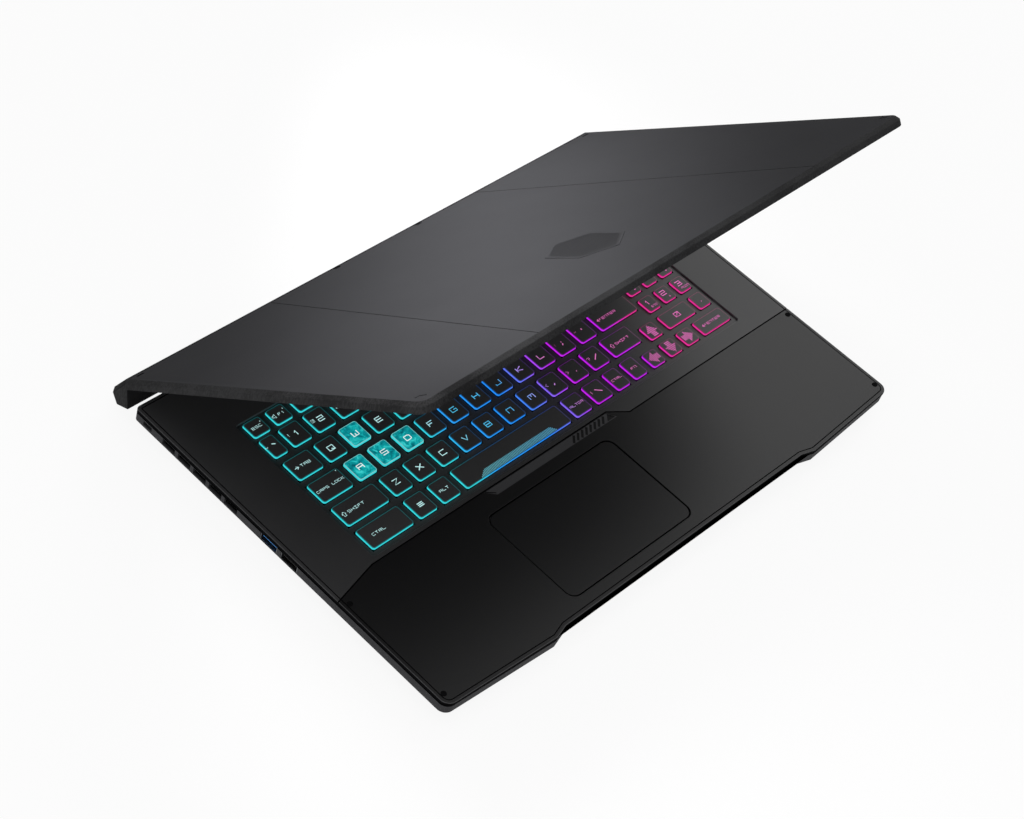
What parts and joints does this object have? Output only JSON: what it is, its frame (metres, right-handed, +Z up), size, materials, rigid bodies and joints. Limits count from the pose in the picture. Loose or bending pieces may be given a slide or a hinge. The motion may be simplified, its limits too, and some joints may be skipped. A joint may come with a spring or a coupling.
{
  "type": "laptop computer",
  "caption": "Large black laptop computer with a friction-hinged lid, lit travelling keys with a number pad, a clicking touchpad, side sockets and cooling fans inside.",
  "frame": {"origin": "on the desk, under the middle of the closed machine, in the plane of the feet", "axes": "+X to the user's right, +Y from the user to the hinge, +Z up"},
  "size_m": [0.398, 0.2777, 0.1896],
  "materials": {
    "case_shell": "fine moulded grain, dark grey",
    "deck_skin": "satin black paint",
    "lid_skin": "satin dark grey paint",
    "key_frame": "matte black, fine grain",
    "key_cap": "matte black top, lit clear side walls",
    "clear_key_cap": "clear cap lit teal from below",
    "touch_plate": "etched dark glass",
    "bezel_plastic": "matte black",
    "screen_glass": "dark matte screen, switched off",
    "rubber": "soft black rubber",
    "steel_screw": "blackened steel",
    "steel_plate": "plain steel sheet",
    "hinge_steel": "dark steel",
    "port_steel": "bright plated steel",
    "inner_plastic": "black moulded plastic",
    "fan_plastic": "black moulded plastic",
    "light_guide": "clear light sheet",
    "silicone": "milky silicone",
    "circuit_board": "lacquered circuit board",
    "chip": "dark chip package",
    "copper": "bare copper",
    "aluminium_fin": "bare aluminium",
    "battery_foil": "wrapped cell foil"
  },
  "bodies": {
    "base": {"bottom_cover": "case_shell", "bottom_screws": "steel_screw", "rubber_feet": "rubber", "top_case": "deck_skin", "palm_bumpers": "rubber", "keyboard_frame": "key_frame", "keyboard_backplate": "steel_plate", "backlight_sheet": "light_guide", "key_domes": "silicone", "touchpad_bracket": "steel_plate", "motherboard": "circuit_board", "left_board": "circuit_board", "processors": "chip", "heat_spreader": "copper", "heat_pipes": "copper", "fin_stacks": "aluminium_fin", "fan_housing_left": "fan_plastic", "fan_housing_right": "fan_plastic", "memory_modules": "circuit_board", "ssd_module": "circuit_board", "wireless_card": "circuit_board", "battery_tray": "inner_plastic", "battery_cells": "battery_foil", "speakers": "inner_plastic", "usb_ports": "port_steel", "usb_c_port": "port_steel", "hdmi_port": "port_steel", "lan_port": "inner_plastic", "audio_jack": "inner_plastic", "power_inlet": "inner_plastic", "lock_plate": "steel_plate", "hinge_knuckles": "hinge_steel"},
    "lid": {"hinge_pins": "hinge_steel", "lid_hinge_arms": "hinge_steel", "lid_cover": "lid_skin", "screen_bezel": "bezel_plastic", "lcd_panel": "screen_glass", "webcam_module": "bezel_plastic"},
    "touchpad": {"touchpad": "touch_plate"},
    "fan_left": {"fan_rotor_left": "fan_plastic"},
    "fan_right": {"fan_rotor_right": "fan_plastic"},
    "key_a": {"key_a": "clear_key_cap"},
    "key_d": {"key_d": "clear_key_cap"},
    "key_down": {"key_down": "key_cap"},
    "key_enter": {"key_enter": "key_cap"},
    "key_left": {"key_left": "key_cap"},
    "key_power": {"key_power": "key_cap"},
    "key_right": {"key_right": "key_cap"},
    "key_s": {"key_s": "clear_key_cap"},
    "key_space": {"key_space": "key_cap"},
    "key_up": {"key_up": "key_cap"},
    "key_w": {"key_w": "clear_key_cap"},
    "keys_bottom_row": {"keys_bottom_row": "key_cap"},
    "keys_function_row": {"keys_function_row": "key_cap"},
    "keys_home_row": {"keys_home_row": "key_cap"},
    "keys_lower_row": {"keys_lower_row": "key_cap"},
    "keys_number_pad": {"keys_number_pad": "key_cap"},
    "keys_number_row": {"keys_number_row": "key_cap"},
    "keys_upper_row": {"keys_upper_row": "key_cap"}
  },
  "joints": [
    {"name": "lid_hinge", "type": "hinge", "parent": "base", "child": "lid", "pos_m": [0, 0.13325, 0.0126], "axis": [-1, 0, 0], "range_deg": [-39.5, 95]},
    {"name": "touchpad_click", "type": "hinge", "parent": "base", "child": "touchpad", "pos_m": [0, -0.05875, 0.01535], "axis": [1, 0, 0], "range_deg": [0, 0.5], "stiffness_Nm_per_rad": 0.5, "springref_deg": -2.98},
    {"name": "fan_left_spin", "type": "hinge", "parent": "base", "child": "fan_left", "pos_m": [-0.145, 0.06545, 0.0032], "axis": [0, 0, 1], "continuous": true},
    {"name": "fan_right_spin", "type": "hinge", "parent": "base", "child": "fan_right", "pos_m": [0.128, 0.06545, 0.0032], "axis": [0, 0, 1], "continuous": true},
    {"name": "key_a_press", "type": "slide", "parent": "base", "child": "key_a", "axis": [0, 0, 1], "range_m": [-0.0015, 0], "stiffness_N_per_m": 60, "springref_m": 0.004},
    {"name": "key_d_press", "type": "slide", "parent": "base", "child": "key_d", "axis": [0, 0, 1], "range_m": [-0.0015, 0], "stiffness_N_per_m": 60, "springref_m": 0.004},
    {"name": "key_down_press", "type": "slide", "parent": "base", "child": "key_down", "axis": [0, 0, 1], "range_m": [-0.0015, 0], "stiffness_N_per_m": 60, "springref_m": 0.004},
    {"name": "key_enter_press", "type": "slide", "parent": "base", "child": "key_enter", "axis": [0, 0, 1], "range_m": [-0.0015, 0], "stiffness_N_per_m": 60, "springref_m": 0.004},
    {"name": "key_left_press", "type": "slide", "parent": "base", "child": "key_left", "axis": [0, 0, 1], "range_m": [-0.0015, 0], "stiffness_N_per_m": 60, "springref_m": 0.004},
    {"name": "key_power_press", "type": "slide", "parent": "base", "child": "key_power", "axis": [0, 0, 1], "range_m": [-0.0015, 0], "stiffness_N_per_m": 60, "springref_m": 0.004},
    {"name": "key_right_press", "type": "slide", "parent": "base", "child": "key_right", "axis": [0, 0, 1], "range_m": [-0.0015, 0], "stiffness_N_per_m": 60, "springref_m": 0.004},
    {"name": "key_s_press", "type": "slide", "parent": "base", "child": "key_s", "axis": [0, 0, 1], "range_m": [-0.0015, 0], "stiffness_N_per_m": 60, "springref_m": 0.004},
    {"name": "key_space_press", "type": "slide", "parent": "base", "child": "key_space", "axis": [0, 0, 1], "range_m": [-0.0015, 0], "stiffness_N_per_m": 60, "springref_m": 0.004},
    {"name": "key_up_press", "type": "slide", "parent": "base", "child": "key_up", "axis": [0, 0, 1], "range_m": [-0.0015, 0], "stiffness_N_per_m": 60, "springref_m": 0.004},
    {"name": "key_w_press", "type": "slide", "parent": "base", "child": "key_w", "axis": [0, 0, 1], "range_m": [-0.0015, 0], "stiffness_N_per_m": 60, "springref_m": 0.004},
    {"name": "keys_bottom_row_press", "type": "slide", "parent": "base", "child": "keys_bottom_row", "axis": [0, 0, 1], "range_m": [-0.0015, 0], "stiffness_N_per_m": 60, "springref_m": 0.004},
    {"name": "keys_function_row_press", "type": "slide", "parent": "base", "child": "keys_function_row", "axis": [0, 0, 1], "range_m": [-0.0015, 0], "stiffness_N_per_m": 60, "springref_m": 0.004},
    {"name": "keys_home_row_press", "type": "slide", "parent": "base", "child": "keys_home_row", "axis": [0, 0, 1], "range_m": [-0.0015, 0], "stiffness_N_per_m": 60, "springref_m": 0.004},
    {"name": "keys_lower_row_press", "type": "slide", "parent": "base", "child": "keys_lower_row", "axis": [0, 0, 1], "range_m": [-0.0015, 0], "stiffness_N_per_m": 60, "springref_m": 0.004},
    {"name": "keys_number_pad_press", "type": "slide", "parent": "base", "child": "keys_number_pad", "axis": [0, 0, 1], "range_m": [-0.0015, 0], "stiffness_N_per_m": 60, "springref_m": 0.004},
    {"name": "keys_number_row_press", "type": "slide", "parent": "base", "child": "keys_number_row", "axis": [0, 0, 1], "range_m": [-0.0015, 0], "stiffness_N_per_m": 60, "springref_m": 0.004},
    {"name": "keys_upper_row_press", "type": "slide", "parent": "base", "child": "keys_upper_row", "axis": [0, 0, 1], "range_m": [-0.0015, 0], "stiffness_N_per_m": 60, "springref_m": 0.004}
  ]
}
